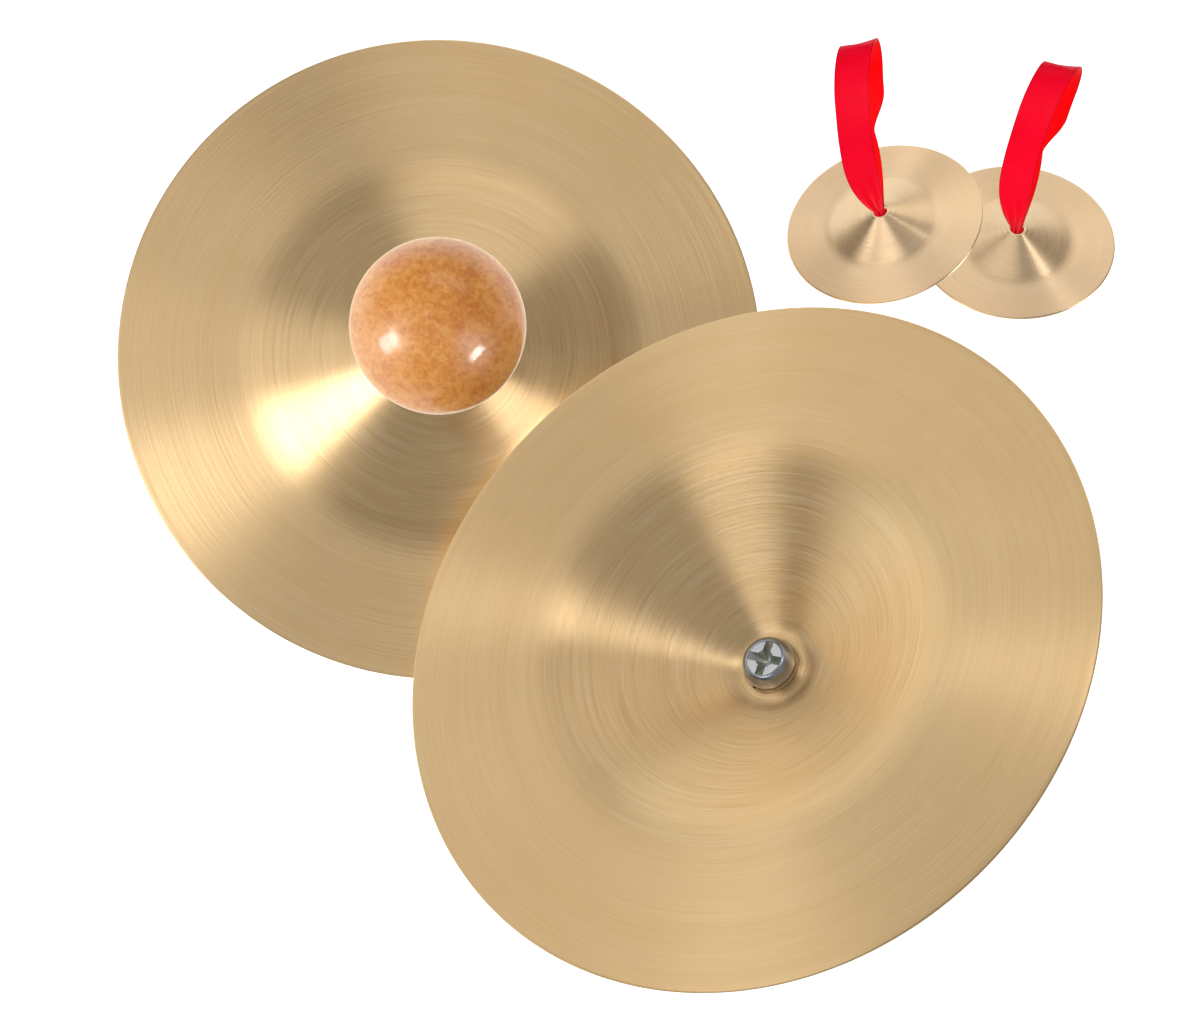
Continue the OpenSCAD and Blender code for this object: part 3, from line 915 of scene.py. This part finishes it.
def feather(data):
    """Lets a light fade towards its edges, and keeps its whole output."""
    data.use_nodes = True
    tree = data.node_tree

    def combine(a, b, operation="MULTIPLY", clamp=False):
        node = tree.nodes.new("ShaderNodeMath")
        node.operation, node.use_clamp = operation, clamp
        for value, socket in zip((a, b), node.inputs):
            if isinstance(value, bpy.types.NodeSocket):
                tree.links.new(value, socket)
            else:
                socket.default_value = value
        return node.outputs[0]

    split = tree.nodes.new("ShaderNodeSeparateXYZ")
    tree.links.new(tree.nodes.new("ShaderNodeNewGeometry").outputs["Parametric"], split.inputs[0])
    u, v = split.outputs[0], split.outputs[1]
    fade = combine(combine(u, combine(1.0, u, "SUBTRACT")), combine(v, combine(1.0, v, "SUBTRACT")))
    shape = combine(combine(fade, EDGE_FADE, clamp=True), FADE_MAKE_UP)
    tree.links.new(shape, tree.nodes["Emission"].inputs["Strength"])


def soft_box(name, azimuth, elevation, width, height, radiance, only=None):
    """A soft box that faces the set. Azimuth is from +X towards +Y, and sizes are in metres. Each
    cymbal is lit as if it stood alone: a box lights one group only, or else the rest of the set."""
    azimuth, elevation = math.radians(azimuth), math.radians(elevation)
    out = Vector((math.cos(elevation) * math.cos(azimuth), math.cos(elevation) * math.sin(azimuth),
                  math.sin(elevation)))
    data = bpy.data.lights.new(name, "AREA")
    data.shape = "RECTANGLE"
    data.size = width
    data.size_y = height
    data.energy = radiance * math.pi * width * height
    feather(data)
    lamp = bpy.data.objects.new(name, data)
    lamp.location = LIGHT_TARGET + out * LIGHT_DISTANCE
    lamp.rotation_euler = out.to_track_quat("Z", "Y").to_euler()
    bpy.context.scene.collection.objects.link(lamp)
    lamp.visible_diffuse = only != "knob"
    if only:
        lamp.light_linking.receiver_collection = linked(only, "INCLUDE")
        if only == "right":
            lamp.light_linking.blocker_collection = linked("left", "EXCLUDE")
    else:
        lamp.light_linking.receiver_collection = linked("right_and_fingers", "EXCLUDE")
        lamp.light_linking.blocker_collection = linked("right", "EXCLUDE")


soft_box("left_side", 199, 31, 1.15, 0.6, 8.2)
soft_box("left_key", 327, 45, 1.3, 1.5, 2.1)
soft_box("left_back", 78, 36, 2.7, 0.95, 1.25)
soft_box("left_fill", 187, 39, 2.8, 2.0, 0.7)
soft_box("left_top", 221, 86, 3.0, 0.4, 0.9)
soft_box("right_side", 182, 46, 0.4, 1.4, 3.3, "right")
soft_box("right_back", 102, 51, 0.85, 0.45, 3.4, "right")
soft_box("right_low", 145, 25, 3.2, 1.1, 0.6, "right")
soft_box("right_wide", 65, 17, 3.0, 3.0, 0.44, "right")
soft_box("finger_key", 211, 17, 1.6, 2.2, 11.0, "fingers")
soft_box("finger_side", 345, 16, 1.2, 2.8, 2.9, "fingers")
soft_box("finger_back", 51, 51, 0.6, 0.4, 3.0, "fingers")
soft_box("finger_top", 136, 65, 0.8, 3.4, 1.15, "fingers")
soft_box("finger_low", 93, 22, 3.2, 1.4, 0.65, "fingers")
soft_box("ribbon_front", 290, 42, 1.4, 1.4, 3.0, "ribbons")
soft_box("knob_right", 323, 18, 1.0, 1.1, 27.0, "knob")
soft_box("knob_left", 201, 19, 0.9, 1.5, 14.0, "knob")

# each cymbal is shown as if it stood alone, without the others and the knobs mirrored in it
for name in GROUPS["left"] + GROUPS["fingers"] + GROUPS["ribbons"] + ["turned_knob_right"]:
    bpy.data.objects[name].visible_glossy = False
bpy.data.objects["turned_knob_left"].visible_shadow = False


def studio_world():
    """A dome that is dim and warm low down, and brighter and white overhead."""
    world = bpy.data.worlds.new("studio")
    world.use_nodes = True
    nodes, links = world.node_tree.nodes, world.node_tree.links
    background = nodes["Background"]
    direction = nodes.new("ShaderNodeTexCoord")
    split = nodes.new("ShaderNodeSeparateXYZ")
    links.new(direction.outputs["Generated"], split.inputs[0])
    upward = split.outputs[2]

    level = nodes.new("ShaderNodeMapRange")
    level.interpolation_type = "SMOOTHSTEP"
    for value, socket in zip((0.45, 1.0, 0.13, 0.39), level.inputs[1:5]):
        socket.default_value = value
    links.new(upward, level.inputs[0])
    links.new(level.outputs[0], background.inputs["Strength"])

    tint = nodes.new("ShaderNodeValToRGB")
    warm, white = tint.color_ramp.elements
    warm.position, warm.color = 0.3, (1.0, 0.84, 0.62, 1.0)
    white.position, white.color = 0.8, (1.0, 1.0, 1.0, 1.0)
    links.new(upward, tint.inputs[0])
    links.new(tint.outputs[0], background.inputs["Color"])
    return world


bpy.context.scene.world = studio_world()
bpy.context.scene.view_settings.view_transform = "Standard"

# ---------------------------------------------------------------- camera
camera_data = bpy.data.cameras.new("camera")
camera_data.sensor_width = 36.0
camera_data.lens = 58.57
camera = bpy.data.objects.new("camera", camera_data)
camera.location = (-0.0319, -0.0267, 0.4526)
camera.rotation_euler = (math.radians(2.12), math.radians(-3.46), 0)
bpy.context.scene.collection.objects.link(camera)
bpy.context.scene.camera = camera
